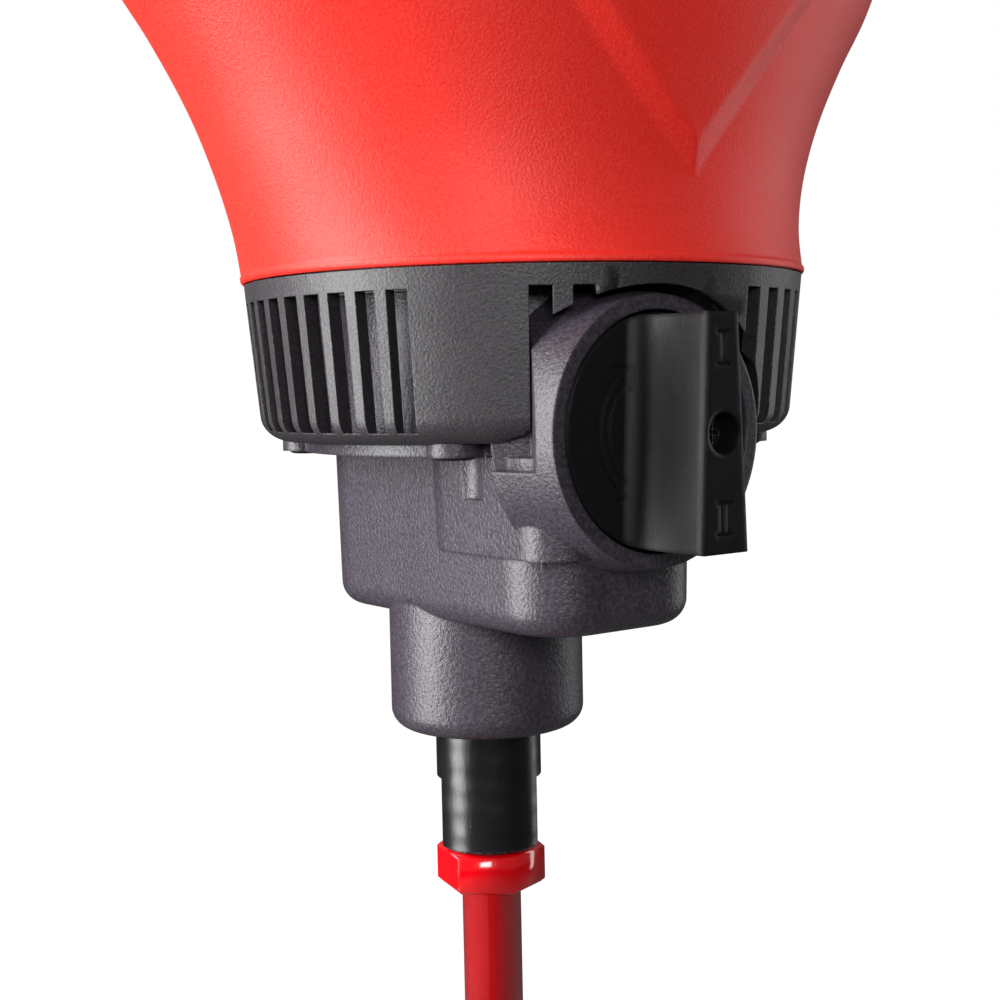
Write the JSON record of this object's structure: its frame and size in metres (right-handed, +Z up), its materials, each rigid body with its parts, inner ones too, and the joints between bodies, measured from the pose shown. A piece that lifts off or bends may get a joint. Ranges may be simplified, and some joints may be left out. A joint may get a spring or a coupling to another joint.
{
  "type": "two-speed paddle mixer",
  "caption": "Hand-held electric paddle mixer with loop handles, gear knob, vented gear case and a screwed-in mixing paddle.",
  "frame": {"origin": "midway between the two hand grips, on the motor axis", "axes": "+Z up the motor axis towards the top cap, -Z down the spindle to the paddle, -Y towards the gear knob, X from grip to grip"},
  "size_m": [0.3636, 0.1435, 0.974],
  "materials": {
    "red_shell": "spark-eroded grain, red nylon",
    "black_vent_plastic": "fine grained black nylon",
    "cast_housing": "black powder coat on die-cast aluminium",
    "black_knob": "satin black nylon",
    "grip_rubber": "ribbed soft rubber",
    "black_button": "satin black plastic",
    "cap_plastic": "grained black nylon",
    "bush_rubber": "soft rubber",
    "screw_steel": "black oxide steel",
    "zinc_steel": "zinc plated",
    "black_oxide_steel": "turned and black-oxided steel",
    "gear_steel": "hobbed case-hardened steel",
    "bearing_steel": "ground",
    "bronze": "sintered bronze",
    "core_steel": "laminated steel",
    "copper_wire": "enamelled copper",
    "inner_plastic": "glass-filled nylon",
    "carbon": "pressed carbon",
    "cast_aluminium": "die cast, raw",
    "seal_rubber": "nitrile rubber",
    "spring_steel": "drawn",
    "red_paint": "gloss red paint on steel"
  },
  "bodies": {
    "housing": {"motor_bell": "red_shell", "front_housing": "red_shell", "rear_housing": "red_shell", "right_grip": "grip_rubber", "left_grip": "grip_rubber", "switch_body": "inner_plastic", "electronics_module": "inner_plastic", "top_cap": "cap_plastic", "cable_bush": "bush_rubber", "vent_ring": "black_vent_plastic", "gear_case": "cast_housing", "gear_case_cover": "cast_aluminium", "gear_bushes": "bronze", "ring_screws": "screw_steel", "cover_screws": "zinc_steel", "cap_screws": "screw_steel", "clamshell_screws": "screw_steel", "stator_core": "core_steel", "field_windings": "copper_wire", "air_baffle": "inner_plastic", "brush_holders": "bronze", "carbon_brushes": "carbon", "bearing_bridge": "inner_plastic", "armature_outer_races": "bearing_steel", "spindle_outer_races": "bearing_steel", "spindle_seal": "seal_rubber", "shift_rail": "gear_steel"},
    "armature": {"armature_shaft": "gear_steel", "armature_core": "core_steel", "armature_windings": "copper_wire", "commutator": "copper_wire", "cooling_fan": "inner_plastic", "armature_inner_races": "bearing_steel"},
    "idler": {"first_gear": "gear_steel", "idler_pinion_shaft": "gear_steel"},
    "countershaft": {"middle_gear": "gear_steel", "countershaft_pinions": "gear_steel"},
    "spindle": {"output_spindle": "black_oxide_steel", "low_gear": "gear_steel", "spindle_clips": "spring_steel", "spindle_inner_races": "bearing_steel", "paddle_rod": "red_paint", "paddle_head": "red_paint"},
    "second_gear": {"high_gear": "gear_steel"},
    "collar": {"shift_collar": "gear_steel"},
    "fork": {"shift_fork": "gear_steel"},
    "selector": {"selector_shaft": "gear_steel", "selector_knob": "black_knob", "knob_screw": "screw_steel"},
    "trigger": {"trigger": "black_button", "trigger_spring": "spring_steel"},
    "lock": {"lock_button": "black_button"},
    "dial": {"speed_dial": "black_button"}
  },
  "joints": [
    {"name": "spindle_spin", "type": "hinge", "parent": "housing", "child": "spindle", "pos_m": [-0.0125, 0, -0.27], "axis": [0, 0, 1], "continuous": true},
    {"name": "countershaft_spin", "type": "hinge", "parent": "housing", "child": "countershaft", "pos_m": [-0.00588, 0.02307, -0.2], "axis": [0, 0, 1], "continuous": true},
    {"name": "idler_spin", "type": "hinge", "parent": "housing", "child": "idler", "pos_m": [0.01402, 0.0137, -0.18], "axis": [0, 0, 1], "continuous": true},
    {"name": "armature_spin", "type": "hinge", "parent": "housing", "child": "armature", "pos_m": [0, 0, -0.07], "axis": [0, 0, 1], "continuous": true},
    {"name": "second_gear_spin", "type": "hinge", "parent": "housing", "child": "second_gear", "pos_m": [-0.0125, 0, -0.21], "axis": [0, 0, 1], "continuous": true},
    {"name": "gear_select", "type": "hinge", "parent": "housing", "child": "selector", "pos_m": [-0.0125, -0.06, -0.1935], "axis": [0, 1, 0], "range_deg": [0, 180]},
    {"name": "fork_slide", "type": "slide", "parent": "housing", "child": "fork", "axis": [0, 0, -1], "range_m": [0, 0.007]},
    {"name": "collar_slide", "type": "slide", "parent": "spindle", "child": "collar", "axis": [0, 0, -1], "range_m": [0, 0.007]},
    {"name": "trigger_press", "type": "slide", "parent": "housing", "child": "trigger", "axis": [1, 0, 0], "range_m": [0, 0.005], "stiffness_N_per_m": 1200, "springref_m": -0.002},
    {"name": "lock_press", "type": "slide", "parent": "housing", "child": "lock", "axis": [0, 1, 0], "range_m": [0, 0.003], "stiffness_N_per_m": 900, "springref_m": -0.002},
    {"name": "dial_turn", "type": "hinge", "parent": "housing", "child": "dial", "pos_m": [0, 0.0485, 0.032], "axis": [1, 0, 0], "range_deg": [0, 270]}
  ],
  "couplings": [
    {"joint": "countershaft_spin", "follows": "spindle_spin", "ratio": -3},
    {"joint": "idler_spin", "follows": "spindle_spin", "ratio": 9},
    {"joint": "armature_spin", "follows": "spindle_spin", "ratio": -40},
    {"joint": "second_gear_spin", "follows": "spindle_spin", "ratio": 1.8},
    {"joint": "fork_slide", "follows": "gear_select", "m_per_rad": 0.0022282},
    {"joint": "collar_slide", "follows": "gear_select", "m_per_rad": 0.0022282}
  ]
}
